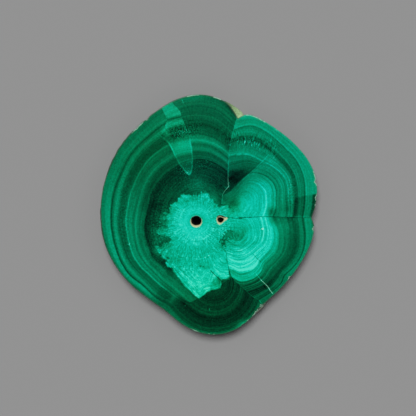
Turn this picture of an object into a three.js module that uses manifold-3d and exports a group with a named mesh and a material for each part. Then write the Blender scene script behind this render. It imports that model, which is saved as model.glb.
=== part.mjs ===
// Malachite stalactite slice: one cross-cut of a banded green stalactite. The upper face is polished,
// the back is sawn flat, the wall keeps the stone's natural lumpy rind, and two drip canals run through.
// Millimetres. The origin is the middle of the footprint on the sawn back, +Z points out of the
// polished face, and +Y runs along the longest way across the slice, towards its notch.

import * as THREE from "three";
import { mergeVertices } from "three/addons/utils/BufferGeometryUtils.js";
import Module from "manifold-3d";

// Driving dimensions
const THICKNESS = 6;
const EDGE_ROUND = 0.35;
const EDGE_ROWS = 3;
const OUTLINE_STEP = 1.0;
const WALL_ROWS = 9;
const SAW_STOCK = 1.6;
const BACK_SHRINK = 0.985;
const WALL_LEAN = new THREE.Vector2(-0.06, 0.07);

// Edge of the slice, anticlockwise, in three smooth stretches that meet at the three natural corners
const RIGHT_GROOVE = [30.8, -0.9];
const NOTCH_CORNER = [8.6, 28.9];
const CRUST_CORNER = [15.9, -27.3];
const UPPER_RIGHT_LOBE = [
  RIGHT_GROOVE, [32.0, 2.8], [32.5, 7.5], [31.9, 11.8], [29.6, 16.8], [25.6, 21.5], [21.2, 25.2],
  [16.6, 28.2], [13.4, 29.8], [11.4, 30.2], [9.8, 29.6], NOTCH_CORNER,
];
const MAIN_BODY = [
  NOTCH_CORNER, [7.3, 31.2], [5.0, 33.9], [1.6, 35.5], [-3.2, 36.2], [-8.0, 35.3], [-14.0, 32.4],
  [-20.9, 27.0], [-26.4, 21.0], [-30.0, 14.0], [-32.2, 6.0], [-32.5, -1.0], [-31.4, -8.4],
  [-28.4, -14.8], [-23.9, -20.5], [-18.4, -25.0], [-13.2, -28.7], [-8.4, -32.6], [-3.0, -35.3],
  [2.8, -35.9], [8.0, -34.4], [12.6, -31.0], CRUST_CORNER,
];
const LOWER_RIGHT_LOBE = [
  CRUST_CORNER, [18.4, -25.0], [22.0, -21.6], [25.6, -17.3], [29.0, -12.0], [31.1, -7.0],
  [31.6, -3.4], RIGHT_GROOVE,
];

// Rind: low rounded lumps that overlap like the beads of a bunch. The outline is their section in the
// polished face, and below it the wall stands out by part of what they rise and goes in where they fall.
const LUMP_COUNT = 100;
const LUMP_RADIUS_MIN = 1.9;
const LUMP_RADIUS_MAX = 4.2;
const LUMP_HEIGHT = 2.0;
const RISE_SHARE = 0.4;
const FALL_SHARE = 0.9;
const GOLDEN_ANGLE = Math.PI * (3 - Math.sqrt(5));
const GOLDEN_SHARE = (Math.sqrt(5) - 1) / 2;
const RADIUS_SHARE = Math.SQRT2 - 1;

// Crust that fills two of the corners, lower than the polished face, out to a line from one side of
// the corner to the other that bulges by so much
const CRUSTS = [
  { from: [10.7, 30.1], to: [4.5, 34.2], bulge: 1.05 },
  { from: [13.4, -30.4], to: [18.2, -25.2], bulge: 0.7 },
];
const CRUST_START_DEPTH = 0.5;
const CRUST_FULL_DEPTH = 1.6;

// Drip canals: the round one is turned, the other has a teardrop section that points to the right
const ROUND_CANAL_AT = [-3.85, -2.0];
const ROUND_CANAL_MOUTH = 1.75;
const ROUND_CANAL_BORE = 1.2;
const TEAR_CANAL_AT = [3.95, -1.5];
const TEAR_CANAL_MOUTH = [
  [1.75, 0.5], [0.45, 1.1], [-0.65, 1.4], [-1.4, 1.1], [-1.7, 0.1], [-1.4, -0.95], [-0.65, -1.4],
  [0.45, -0.55], [1.75, 0.5],
];
const TEAR_CANAL_WAIST = 0.62;
const CANAL_FLARE = 0.9;
const CANAL_LEAN = new THREE.Vector2(0.14, 0.38);
const CANAL_SIDES = 20;
const CANAL_ROWS = 8;
const CANAL_OVERRUN = 1;

const SAW_SIDE = 100;
const MERGE_DISTANCE = 1e-4;

const MALACHITE = new THREE.MeshStandardMaterial({ color: 0x0b8560, roughness: 0.18, metalness: 0 });

const wasm = await Module();
wasm.setup();

function smooth(from, to, value) {
  return THREE.MathUtils.smoothstep(value, from, to);
}

function share(number) {
  return number - Math.floor(number);
}

// The same geometry with one vertex at each corner
function mergeCorners(geometry) {
  geometry.deleteAttribute("normal");
  geometry.deleteAttribute("uv");
  return mergeVertices(geometry, MERGE_DISTANCE);
}

// A closed three.js geometry as a solid, and back
function toSolid(geometry) {
  const merged = mergeCorners(geometry);
  return new wasm.Manifold(new wasm.Mesh({
    numProp: 3,
    vertProperties: new Float32Array(merged.attributes.position.array),
    triVerts: new Uint32Array(merged.index.array),
  }));
}

function toGeometry(solid) {
  const mesh = solid.getMesh();
  const geometry = new THREE.BufferGeometry();
  geometry.setAttribute("position", new THREE.BufferAttribute(mesh.vertProperties, mesh.numProp));
  geometry.setIndex(new THREE.BufferAttribute(mesh.triVerts, 1));
  geometry.computeVertexNormals();
  return geometry;
}

// The edge as evenly spaced points along the three stretches
function outlinePoints() {
  const points = [];
  for (const stretch of [UPPER_RIGHT_LOBE, MAIN_BODY, LOWER_RIGHT_LOBE]) {
    const knots = stretch.map(([x, y]) => new THREE.Vector3(x, y, 0));
    const curve = new THREE.CatmullRomCurve3(knots, false, "centripetal");
    const steps = Math.round(curve.getLength() / OUTLINE_STEP);
    const spaced = curve.getSpacedPoints(steps).slice(0, steps);
    points.push(...spaced.map((point) => new THREE.Vector2(point.x, point.y)));
  }
  return points;
}

// Lumps spread over the wall by the golden angle, each with its own size
function makeLumps() {
  const lumps = [];
  for (let i = 0; i < LUMP_COUNT; i += 1) {
    const size = share(i * RADIUS_SHARE);
    lumps.push({
      angle: i * GOLDEN_ANGLE,
      height: share(i * GOLDEN_SHARE) * (THICKNESS + SAW_STOCK) - SAW_STOCK,
      radius: THREE.MathUtils.lerp(LUMP_RADIUS_MIN, LUMP_RADIUS_MAX, size),
    });
  }
  return lumps;
}

// The highest of the domes that cover a place on the wall, which is at height z
function domeHeight(point, z, lumps) {
  const distance = Math.hypot(point.x, point.y);
  const angle = Math.atan2(point.y, point.x);
  let highest = 0;
  for (const lump of lumps) {
    const turn = Math.atan2(Math.sin(angle - lump.angle), Math.cos(angle - lump.angle));
    const away = Math.hypot(turn * distance, z - lump.height) / lump.radius;
    highest = Math.max(highest, (1 - away * away) * lump.radius / LUMP_RADIUS_MAX);
  }
  return highest * LUMP_HEIGHT;
}

// How far the rind stands out from the outline at a point of the wall
function rindOffset(point, lumps) {
  const rise = domeHeight(point, point.z, lumps) - domeHeight(point, THICKNESS, lumps);
  return rise * (rise > 0 ? RISE_SHARE : FALL_SHARE);
}

// How far the crust carries a point of the wall outwards, to the line that bulges between its ends
function crustPush(point, crust) {
  const start = new THREE.Vector2(...crust.from);
  const along = new THREE.Vector2(...crust.to).sub(start);
  const outward = new THREE.Vector2(along.y, -along.x).normalize();
  const offset = new THREE.Vector2(point.x, point.y).sub(start);
  const way = offset.dot(along) / along.lengthSq();
  const inside = way > 0 && way < 1 && Math.abs(offset.dot(outward)) < along.length();
  const line = 4 * crust.bulge * way * (1 - way);
  return outward.multiplyScalar(inside ? Math.max(0, line - offset.dot(outward)) : 0);
}

// The stone before the cuts: the outline pulled down past the back, with its wall grown lumpy
function makeBlank() {
  const blank = new THREE.ExtrudeGeometry(new THREE.Shape(outlinePoints()), {
    depth: THICKNESS + SAW_STOCK - 2 * EDGE_ROUND,
    steps: WALL_ROWS,
    bevelThickness: EDGE_ROUND,
    bevelSize: EDGE_ROUND,
    bevelOffset: -EDGE_ROUND,
    bevelSegments: EDGE_ROWS,
  });
  blank.translate(0, 0, EDGE_ROUND - SAW_STOCK);
  const body = mergeCorners(blank);
  body.computeVertexNormals();

  const lumps = makeLumps();
  const position = body.attributes.position;
  const normal = body.attributes.normal;
  const point = new THREE.Vector3();
  for (let i = 0; i < position.count; i += 1) {
    point.fromBufferAttribute(position, i);
    const outward = new THREE.Vector2(normal.getX(i), normal.getY(i)).normalize();
    const depth = THICKNESS - point.z;
    const aboveStock = smooth(-SAW_STOCK, -SAW_STOCK / 2, point.z);
    const crustShare = aboveStock * smooth(CRUST_START_DEPTH, CRUST_FULL_DEPTH, depth);
    const place = new THREE.Vector2(point.x, point.y);
    place.multiplyScalar(THREE.MathUtils.lerp(1, BACK_SHRINK, depth / THICKNESS));
    place.addScaledVector(WALL_LEAN, depth);
    place.addScaledVector(outward, aboveStock * rindOffset(point, lumps));
    for (const crust of CRUSTS) {
      place.addScaledVector(crustPush(point, crust), crustShare);
    }
    position.setXY(i, place.x, place.y);
  }
  return toSolid(body);
}

// What the saw takes off below the back
function makeSawCut() {
  const cut = new THREE.BoxGeometry(SAW_SIDE, SAW_SIDE, 2 * SAW_STOCK);
  cut.translate(0, 0, -SAW_STOCK);
  return toSolid(cut);
}

// Slants a canal: its mouth stays where it is in the polished face, and it moves away as it goes down
function leanCanal(geometry, [x, y]) {
  const position = geometry.attributes.position;
  for (let i = 0; i < position.count; i += 1) {
    const depth = THICKNESS - position.getZ(i);
    const leanX = position.getX(i) + x + CANAL_LEAN.x * depth;
    const leanY = position.getY(i) + y + CANAL_LEAN.y * depth;
    position.setXY(i, leanX, leanY);
  }
  return toSolid(geometry);
}

function makeRoundCanal() {
  const profile = [
    [0, -CANAL_OVERRUN],
    [ROUND_CANAL_MOUTH, -CANAL_OVERRUN],
    [ROUND_CANAL_MOUTH, 0],
    [ROUND_CANAL_BORE, CANAL_FLARE],
    [ROUND_CANAL_BORE, THICKNESS / 2],
    [ROUND_CANAL_BORE, THICKNESS - CANAL_FLARE],
    [ROUND_CANAL_MOUTH, THICKNESS],
    [ROUND_CANAL_MOUTH, THICKNESS + CANAL_OVERRUN],
    [0, THICKNESS + CANAL_OVERRUN],
  ].map(([radius, z]) => new THREE.Vector2(radius, z));
  const canal = new THREE.LatheGeometry(profile, CANAL_SIDES);
  canal.rotateX(Math.PI / 2);
  return leanCanal(canal, ROUND_CANAL_AT);
}

function makeTearCanal() {
  const mouth = new THREE.SplineCurve(TEAR_CANAL_MOUTH.map(([x, y]) => new THREE.Vector2(x, y)));
  const section = new THREE.Shape(mouth.getSpacedPoints(CANAL_SIDES).slice(0, CANAL_SIDES));
  const canal = new THREE.ExtrudeGeometry(section, {
    depth: THICKNESS + 2 * CANAL_OVERRUN,
    steps: CANAL_ROWS,
    bevelEnabled: false,
  });
  canal.translate(0, 0, -CANAL_OVERRUN);
  const position = canal.attributes.position;
  for (let i = 0; i < position.count; i += 1) {
    const depth = THREE.MathUtils.clamp(THICKNESS - position.getZ(i), 0, THICKNESS);
    const inside = smooth(0, CANAL_FLARE, Math.min(depth, THICKNESS - depth));
    const scale = THREE.MathUtils.lerp(1, TEAR_CANAL_WAIST, inside);
    position.setXY(i, position.getX(i) * scale, position.getY(i) * scale);
  }
  return leanCanal(canal, TEAR_CANAL_AT);
}

// The finished stone, set down with the middle of its footprint at the origin
function makeSlice() {
  const stone = makeBlank()
    .subtract(makeSawCut())
    .subtract(makeRoundCanal())
    .subtract(makeTearCanal());
  const geometry = toGeometry(stone);
  geometry.computeBoundingBox();
  const middle = geometry.boundingBox.getCenter(new THREE.Vector3());
  geometry.translate(-middle.x, -middle.y, 0);
  const slice = new THREE.Mesh(geometry, MALACHITE);
  slice.name = "slice";
  return slice;
}

const part = new THREE.Group();
part.add(makeSlice());
export default part;
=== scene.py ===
import math

import bpy
import numpy as np
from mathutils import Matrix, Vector
from mathutils.bvhtree import BVHTree
from mathutils.geometry import delaunay_2d_cdt


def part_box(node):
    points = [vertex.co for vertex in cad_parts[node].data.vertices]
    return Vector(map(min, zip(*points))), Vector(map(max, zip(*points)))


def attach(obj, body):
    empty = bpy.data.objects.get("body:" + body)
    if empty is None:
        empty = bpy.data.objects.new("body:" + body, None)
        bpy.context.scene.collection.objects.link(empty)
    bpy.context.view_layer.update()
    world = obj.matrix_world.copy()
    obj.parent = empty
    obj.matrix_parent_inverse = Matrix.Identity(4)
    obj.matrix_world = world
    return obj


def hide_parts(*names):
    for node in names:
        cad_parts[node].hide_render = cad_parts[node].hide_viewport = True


# A slice of a malachite stalactite, lying on its sawn back with the polished face up.
# Every length is in millimetres in the part's frame, and becomes metres where it goes to Blender.
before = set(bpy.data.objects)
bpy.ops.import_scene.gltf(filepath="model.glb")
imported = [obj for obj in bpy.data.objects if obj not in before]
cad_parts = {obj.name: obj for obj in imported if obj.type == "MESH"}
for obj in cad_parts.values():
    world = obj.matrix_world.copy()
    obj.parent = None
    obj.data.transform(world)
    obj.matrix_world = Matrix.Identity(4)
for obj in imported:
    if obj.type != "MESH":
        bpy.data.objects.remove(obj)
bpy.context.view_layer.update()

NODE = "slice"
PIECE = "malachite_slice"
MM = 0.001
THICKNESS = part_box(NODE)[1].z / MM
SEED = 71

# Fineness of the mesh
FACE_STEP = 0.33
BACK_STEP = 0.62
EDGE_STEP = 0.3
EDGE_MARGIN = 0.2
WALL_STEP = 0.28
CANAL_COLUMNS = 72
CANAL_ROWS = 18
CANAL_TURNS = np.linspace(0, 2 * math.pi, CANAL_COLUMNS, endpoint=False)
CANAL_WAYS = np.column_stack([np.cos(CANAL_TURNS), np.sin(CANAL_TURNS)])

# Rounded rim of the polished face and the sharper rim of the back
EDGE_ROUND = 0.35
EDGE_ROWS = 4
BACK_ROUND = 0.12
# The wall is read by rays that start this far inside it, no lower than this, along directions that
# are the mean of so many neighbours on both sides. It takes over from the rim within this depth.
LOOK_IN = 1.6
LOWEST_SIGHT = 0.03
NORMALS_REACH = 4
RIM_TO_WALL = 0.6

# Beyond this distance from the rim of the face, lumps of the wall stand out by this share only
WALL_REACH = 0.3
WALL_EXCESS = 0.35

# Natural rind: small rounded lumps on the lumps of the wall
LUMPLETS = 620
LUMPLET_RADIUS = (0.6, 1.5)
LUMPLET_HEIGHT = 0.2
LUMPLET_START = 0.35
LUMPLET_FULL = 1.8
# Share of their height that crust takes away
CRUST_EVENS = 0.7

# Hearts that the bands grew around
BODY_AT = (-3.24, -1.74)
UPPER_AT = (9.06, 2.46)
LOWER_AT = (8.46, -6.54)
FOOT_AT = (1.86, -20.94)

# Distance of the main bands from their heart, by direction in degrees.
# The main body: edge of the core, inner dark line, bright line, light band, outer dark line, skin
BODY_BANDS = {
    60: (17.4, 19.6, 21.4, 26.5, 27.6, 31), 70: (17.9, 20.6, 22.7, 27.6, 29.1, 34.1),
    80: (18.3, 21.5, 23.6, 29.7, 31.2, 36.9), 90: (18.3, 21.7, 24, 30.3, 31.8, 37.4),
    100: (18, 21.6, 24, 29.9, 31.4, 36.2), 110: (17.4, 21.4, 24, 28.8, 30.2, 35.1),
    120: (17, 20.9, 23.6, 27.8, 29, 33.5), 130: (16.6, 20.5, 23.1, 27.1, 28.3, 32.3),
    140: (16.2, 19.9, 22.4, 26.3, 27.5, 31.4), 150: (15.8, 19.4, 21.8, 25.5, 26.6, 30.5),
    160: (15.3, 19, 21.5, 25, 26.3, 29.9), 170: (15.3, 18.9, 21.2, 24.5, 25.9, 29.3),
    180: (15.6, 19.1, 21.4, 24.6, 25.7, 28.8), 190: (16.1, 19.4, 21.3, 24.7, 25.7, 28.5),
    200: (16.4, 19.7, 21.5, 24.8, 25.7, 28.3), 210: (16.8, 20.2, 21.9, 25, 26, 28),
    220: (17.4, 20.4, 21.9, 24.8, 26, 27.8), 230: (17.4, 20.4, 21.8, 24.7, 25.4, 27.4),
    240: (18, 21.1, 22.4, 25.4, 26.1, 27.8), 250: (18.8, 22.1, 23.4, 26.3, 27.2, 29),
    260: (20.4, 24.2, 25.8, 29, 30, 31.1), 270: (23.7, 27, 28.5, 31.4, 32.3, 33.2),
    280: (25.5, 28.8, 30.5, 33, 33.9, 34.6), 290: (25.8, 28.8, 30.3, 32.9, 33.8, 34.7),
    300: (24, 26.4, 27.6, 30.9, 32, 33),
}
# The upper lobe: edge of its bright bulb, white line, fibrous dark band, outer dark line, skin
UPPER_BANDS = {
    -140: (10.7, 15.5, 16.8, 19.8, 22), -20: (10.7, 15.5, 16.8, 19.8, 22),
    -10: (11, 15.6, 17.1, 19.8, 22.5), 0: (11.3, 15.4, 17.3, 20, 23.3),
    10: (11.4, 15.4, 17.7, 20.4, 24.2), 20: (12, 16, 18.1, 21.2, 24.7),
    30: (12.4, 16.4, 18.6, 21.9, 24.8), 40: (12.3, 16.2, 18.7, 22.3, 24.9),
    50: (11.9, 15.8, 18.8, 22.4, 25.1), 60: (11.3, 15.3, 19.4, 23, 25.5),
    70: (10.1, 15.5, 20.1, 23.9, 26.5), 80: (8.3, 15.8, 20.1, 24.5, 27.5),
    90: (6.5, 15.6, 19.8, 23.4, 26.3), 100: (5.7, 15.5, 18.6, 21.6, 24),
    110: (5.1, 15, 17.4, 20.4, 22.8), 150: (5.6, 15.1, 17.3, 20.3, 22.6),
    190: (8.6, 15.3, 17, 20, 22.3), 220: (10.7, 15.5, 16.8, 19.8, 22),
}
# The lower lobe: middle of its pale bulb, edge of the bulb, dark band, outer dark line, skin
LOWER_BANDS = {
    -150: (8.2, 12.2, 17, 20.6, 23), -110: (6.6, 12, 16.8, 20.4, 22.8),
    -95: (6.8, 12.6, 17.1, 20.7, 23.1), -85: (7, 13.8, 17.4, 21, 23.1),
    -75: (7.1, 14, 17, 20.5, 22.8), -65: (7.2, 13.8, 16.9, 20, 21.6),
    -55: (7.3, 13.1, 16.9, 19.8, 21), -45: (7.4, 12, 16.3, 19.5, 20.5),
    -40: (7.5, 12, 16.2, 18.8, 20.3), -30: (7.8, 12.4, 16.5, 19.5, 20.5),
    -20: (8.4, 12.9, 17.1, 20.3, 21.1), -10: (8.9, 12.9, 17.4, 20.7, 22.2),
    0: (9.2, 12.8, 17.1, 20.7, 23.1), 10: (9.5, 12.5, 17.4, 20.6, 23.3),
    20: (9.6, 12.2, 17.4, 20.9, 23.1), 32: (10.1, 12.3, 17.4, 20.9, 23.1),
    120: (9.8, 12.3, 17.4, 20.9, 23.1), 210: (8.2, 12.2, 17, 20.6, 23),
}
# The dark foot at the bottom is round: its bands, in the order of the main body's
FOOT_BANDS = {turn: (6, 7, 10.2, 13.5, 14.2, 15) for turn in (120, 420)}
# Each growth's heart and bands, and where its directions are counted from, in degrees
GROWTHS = {
    "body": (BODY_AT, BODY_BANDS, 0),
    "foot": (FOOT_AT, FOOT_BANDS, 90),
    "upper": (UPPER_AT, UPPER_BANDS, min(UPPER_BANDS)),
    "lower": (LOWER_AT, LOWER_BANDS, min(LOWER_BANDS)),
}

# How light the stone is along the bands, in percent from black to white. The first number of a row is
# the band coordinate: 0 at the first band of the tables above, 1 at the second, -1 at the heart.
# The main body at the top, at the upper left, at the left and at the lower left
BODY_TONES = [
    (-0.45, 36, 33, 40, 40), (-0.3, 26, 29, 36, 38), (-0.15, 24.5, 21, 28, 36), (-0.03, 22, 20, 18, 35),
    (0.04, 31, 31, 33, 37), (0.28, 35.5, 31, 42, 45), (0.42, 34, 32, 40.5, 43),
    (0.55, 34.5, 33, 41.5, 45.5), (0.65, 35.5, 38, 49, 49), (0.75, 41, 41, 53, 51),
    (0.87, 46, 41.5, 50, 45), (0.98, 47, 41, 41, 37), (1.2, 47.5, 37.5, 52, 40), (1.45, 40, 36, 50, 38),
    (1.72, 49, 35.5, 50, 45), (1.85, 53.5, 37.5, 54, 42), (1.95, 54, 44, 60, 47), (2.04, 54, 40, 56, 38),
    (2.12, 46, 32, 42, 35), (2.25, 38.5, 31.5, 38.5, 33), (2.62, 30, 33.5, 38, 28),
    (2.75, 30.5, 39, 44, 31), (2.97, 32, 49, 56, 34.5), (3.4, 37, 43.5, 49, 27.5), (3.75, 40, 36, 40, 25),
    (3.95, 38, 34, 30, 27), (4.05, 35.5, 38, 38, 30), (4.18, 35, 46.5, 57.5, 35),
    (4.5, 39.5, 46, 55, 33.5), (4.7, 40, 42, 49, 33), (4.87, 39, 41, 44, 34), (5, 38, 38, 38, 35),
]
# The upper lobe at its right and at its left
UPPER_TONES = [
    (-1, 69, 58), (-0.8, 77, 60), (-0.56, 76, 51), (-0.32, 77, 46), (-0.16, 73, 42), (-0.06, 63, 38),
    (-0.01, 68, 34), (0.04, 47, 25), (0.14, 53, 19), (0.26, 51, 21), (0.38, 50, 24), (0.5, 56, 33),
    (0.58, 58.5, 36), (0.7, 54, 38), (0.84, 53, 46), (0.93, 54, 44), (1, 58, 55), (1.05, 57, 60),
    (1.12, 55, 54), (1.3, 58.5, 53), (1.6, 54.5, 51), (1.8, 43, 42), (2, 38, 36), (2.2, 41, 38),
    (2.45, 53, 50), (2.62, 51, 55), (2.8, 47, 50), (2.96, 40, 44), (3.07, 63, 60), (3.2, 62, 63.5),
    (3.6, 59, 59), (4, 60, 66),
]
# The lower lobe at its right and at its lower left
LOWER_TONES = [
    (-1, 45, 50), (-0.8, 58, 63), (-0.64, 70, 72), (-0.4, 76, 79), (-0.15, 76, 77), (0, 78, 81),
    (0.14, 84, 83), (0.22, 77, 84), (0.36, 81, 85), (0.48, 76, 84), (0.58, 74, 79), (0.66, 64, 72),
    (0.74, 70, 69), (0.82, 68, 70), (0.92, 64, 67), (0.98, 58, 62), (1.05, 50, 43), (1.2, 50, 39),
    (1.4, 45.5, 34), (1.7, 39, 34), (1.85, 32.5, 26), (2, 32, 21), (2.16, 30, 24), (2.5, 36, 26.5),
    (2.65, 44, 39), (2.8, 47, 30), (2.92, 39, 28), (3, 31, 24), (3.1, 41, 34), (3.2, 53, 40),
    (3.8, 54, 39), (4, 50, 36),
]
FOOT_TONES = [
    (-0.6, 25), (-0.48, 23.5), (-0.3, 20), (-0.15, 18.5), (0, 22.5), (0.2, 25), (0.45, 25), (0.75, 21.5),
    (1.2, 20.5), (1.4, 25), (1.62, 26), (1.78, 23.5), (1.9, 18.5), (2.03, 13), (2.15, 13.5), (2.32, 17.5),
    (2.7, 18.5), (2.86, 23.5), (3, 28), (3.3, 28), (3.5, 25), (3.7, 26.5), (3.95, 23.5), (4.1, 26),
    (4.3, 31), (4.6, 38), (5, 40),
]
# The wedge at the upper left: its bands by distance from the main heart
WEDGE_TONES = [
    (14.6, 50), (15.2, 36), (16.4, 31), (17.4, 36), (18, 42), (19.4, 37), (20.2, 50), (20.7, 57),
    (21.6, 61), (22.2, 67), (22.8, 64), (23.8, 62), (24.3, 54), (25, 38), (26.4, 30), (28.5, 32),
    (29.2, 54), (29.8, 63), (30.4, 60), (31, 44), (31.3, 33), (31.8, 52), (32.3, 65), (34.5, 64),
    (35.5, 58),
]
# The blue-green middle: its tone by distance from the round canal
HEART_TONES = [
    (2, 74), (2.6, 77), (3.1, 81), (3.9, 81.5), (5, 82), (6.2, 80), (7.4, 75), (9, 72), (12, 73),
    (15, 76), (20, 78.5), (26, 80),
]

# Colour by tone: red, green and blue out of 255
PALETTE = [
    (0, (1, 6, 4)), (0.1, (2, 26, 18)), (0.2, (3, 51, 34)), (0.3, (3, 76, 48)), (0.4, (4, 102, 67)),
    (0.5, (4, 128, 88)), (0.6, (5, 153, 111)), (0.7, (6, 179, 142)), (0.77, (7, 196, 166)),
    (0.82, (20, 209, 183)), (0.87, (46, 222, 198)), (0.93, (104, 236, 213)), (1, (190, 246, 230)),
]

# Lines where growths meet
NOTCH_SUTURE = [
    (8.61, 28.7), (7.41, 24.4), (6.66, 21.4), (6.45, 18.7), (6.24, 15.7), (6.06, 12.7), (6.06, 10.3),
    (6.21, 8.2), (5.16, 7.1), (4.35, 5.8), (4.2, 3.1),
]
RIGHT_SUTURE = [
    (6.06, -0.93), (6.96, -1.02), (8.16, -1.29), (11.16, -0.99), (16.26, -0.75), (21.66, -0.84),
    (27.66, -0.99), (31.9, -1.14),
]
LOWER_SUTURE = [
    (4.26, -9.2), (5.46, -11.1), (5.76, -13.3), (6.06, -15.4), (6.51, -17.34), (6.99, -18.45),
    (8.46, -20.34), (10.56, -21.99), (12.06, -23.55), (13.74, -24.99), (15.33, -25.6), (16.4, -27.2),
]
SEAM = [(18.7, 18.7), (17.3, 16.8), (15.9, 15.4), (13.9, 13.4), (12.1, 11.8), (10.6, 10.5)]
PAST_SEAM_REGION = SEAM + [
    (8.9, 9.2), (8.3, 7.8), (7.2, 6), (5.6, 4.6), (4, 4.2), (4, 40), (25, 40), (20.6, 23),
]
UPPER_REGION = NOTCH_SUTURE + [
    (6.36, 2.61), (6.96, 0.96), (7.56, -0.3),
] + RIGHT_SUTURE[2:] + [(45, -1.4), (45, 45), (9.6, 45)]
LOWER_REGION = RIGHT_SUTURE[2:][::-1] + [
    (7.86, -2.34), (6.96, -4.14), (5.46, -4.44), (4.86, -5.94), (3.66, -7.74),
] + LOWER_SUTURE + [(18.5, -36), (45, -36), (45, -1.4)]
WEDGE_REGION = [
    (-13.9, 32), (-12.2, 28.5), (-12.8, 26.7), (-13, 25), (-14.4, 23.8), (-13.8, 23.1), (-12.4, 22.1),
    (-11.5, 20.8), (-10.4, 18.6), (-8.8, 15.4), (-7.7, 13.8), (-6.9, 12.8), (-6.2, 12.05), (-5.6, 11.7),
    (-5.15, 11.9), (-4.85, 12.6), (-4.6, 13.8), (-4.5, 16.2), (-4.7, 19.2), (-5.1, 21.6), (-5.4, 23.1),
    (-6.3, 25.1), (-7.4, 28), (-8.4, 30.9), (-10.4, 33.2), (-11.6, 36.5), (-15.6, 35.5),
]
FOOT_LINE = [(-2.5, -24.9), (-5.3, -26.6)]
HEART_REGION = [
    (-8.7, 5.2), (-7.9, 5.9), (-6.5, 5.7), (-5.3, 5.5), (-4.1, 5.8), (-2.9, 6.4), (-2, 6.8), (-0.8, 6.9),
    (-0.2, 6.2), (0.4, 5.2), (1.5, 4.3), (2.5, 3.3), (3, 2.4), (3.7, 2.1), (4.3, 2.5), (5, 2.3),
    (5.5, 2.9), (6.2, 2.5), (6.4, 1.3), (7.6, 0.7), (8.8, -0.4), (9.4, -1.4), (9.4, -3), (9.2, -5),
    (8.4, -7.5), (7, -9.8), (6.2, -12.5), (6.2, -14.8), (6.4, -17.6), (6.5, -18.8), (5.5, -19.4),
    (4.3, -19.4), (4.1, -20.9), (3.8, -22.1), (2.2, -22.7), (0.7, -23), (-0.2, -23.3), (-1.4, -24.4),
    (-2.7, -25.4), (-3.9, -24.4), (-5.4, -22.7), (-7.2, -20.6), (-8.9, -18.8), (-10.4, -17),
    (-11.8, -15.3), (-13, -13.6), (-13.4, -12.2), (-12.5, -10.7), (-11.6, -9.5), (-11.5, -7.7),
    (-11.8, -6.2), (-11.6, -4.7), (-11.9, -3.2), (-11.8, -1.4), (-11.6, 0.1), (-11, 1.6), (-10.4, 2.8),
    (-9.8, 3.9),
]
FAN_REGION = [
    (1.3, -14.3), (3.1, -13.1), (4.9, -12.8), (5.9, -14.6), (6.3, -16.7), (6.5, -18.8), (5.5, -19.4),
    (4.3, -19.1), (2.8, -18.2), (1.6, -16.7),
]
FAN_AT = (5.4, -12.6)

REGIONS = {
    "in_upper": UPPER_REGION, "in_lower": LOWER_REGION, "past_seam": PAST_SEAM_REGION,
    "in_wedge": WEDGE_REGION, "in_heart": HEART_REGION, "in_fan": FAN_REGION,
}

# Veins and cracks in the polished face, and a painted shadow beside one crack: the line, how light (above 0)
# or dark (below 0) it is at its two ends, its half width and how deep it is worn
VEINS_AND_SHADOW = [
    (NOTCH_SUTURE[:5], (0.1, 0.18), 0.13, 0.015),
    (NOTCH_SUTURE[4:8], (0.2, 0.52), 0.14, 0.02),
    (NOTCH_SUTURE[7:], (0.5, 0.26), 0.13, 0.02),
    (RIGHT_SUTURE, (-0.45, -0.16), 0.14, 0.015),
    (LOWER_SUTURE[:6], (-0.22, -0.3), 0.14, 0.02),
    (LOWER_SUTURE[5:], (0.06, 0.18), 0.15, 0.02),
    ([(14.2, -17.5), (15.2, -18.8), (16.3, -20.1)], (0.05, 0.5), 0.14, 0.02),
    ([(16.2, -20), (17.1, -20.8), (18.1, -21.8), (18.7, -22.9), (20, -24.4)], (0.55, 0.6), 0.16, 0.03),
    # A painted shadow beside the white crack above
    ([(16.6, -21.2), (17.2, -21.9), (17.6, -22.5)], (-0.2, -0.2), 0.18, 0),
    (SEAM, (0.15, 0.2), 0.16, 0),
    ([(13.6, -12), (14.6, -13.1), (15.7, -14.2)], (-0.25, -0.3), 0.13, 0.015),
    ([(1, -17.1), (2.2, -18.3), (3.4, -19.3), (4.1, -20.1)], (-0.5, -0.35), 0.17, 0.015),
    (
        [(-10.7, -11.3), (-8.3, -12.5), (-5.3, -13.3), (-2.3, -13.5), (-0.2, -12.7), (1.6, -11.6)],
        (0.09, 0.12), 0.16, 0,
    ),
    ([(-8, 34.9), (-7.7, 34.2), (-7.3, 33.4)], (0.34, 0.28), 0.14, 0.02),
]
# How far other points of the mesh stay from a vein
VEIN_CLEAR = 0.12

# Small chips along the rim of the face: where, how wide and how deep
CHIPS = [
    ((-18.2, 28.6), 0.9, 0.5), ((-21.5, 25.9), 0.7, 0.4), ((32.3, 9.7), 0.9, 0.5),
    ((32.5, 4.9), 0.7, 0.4), ((31.6, -4.4), 0.6, 0.4), ((16.5, -26.3), 0.5, 0.4),
    ((15.9, -27.3), 0.7, 0.5), ((15.2, -28.4), 0.6, 0.4), ((14.4, -29.4), 0.5, 0.3),
    ((24.5, -18.9), 0.5, 0.3), ((10.6, -33.3), 0.7, 0.4),
]

# A ledge just below the face in the drop-shaped canal, painted pale as if lit: how far it stands in from the
# wall, by direction in degrees, and the depths at which it starts and has its full width
LEDGE = {
    -60: 0, -12: 0.25, 0: 0.65, 12: 1, 40: 0.85, 100: 0.75, 135: 0.35, 165: 0.1, 180: 0, 300: 0,
}
LEDGE_DEPTHS = (0.05, 0.55)
LEDGE_THICK = 0.62
# How far into the canals' painted shade it looks, and the least share of the canal that it leaves open
LEDGE_LOOKS = 0.35
LEDGE_LEAVES = 0.4

# The lining of the canals and its painted shade: how fast the shade deepens with depth, how much faster on
# the side that the light comes from, and how dark the edge of the mouth is painted there. Rows crowd towards
# the mouth.
CANAL_SHADE_DEEPENS = 3.6
CANAL_SHADE_SIDE = 1.8
MOUTH_DARK = 1.35
CANAL_CROWDING = 1.3

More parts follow.
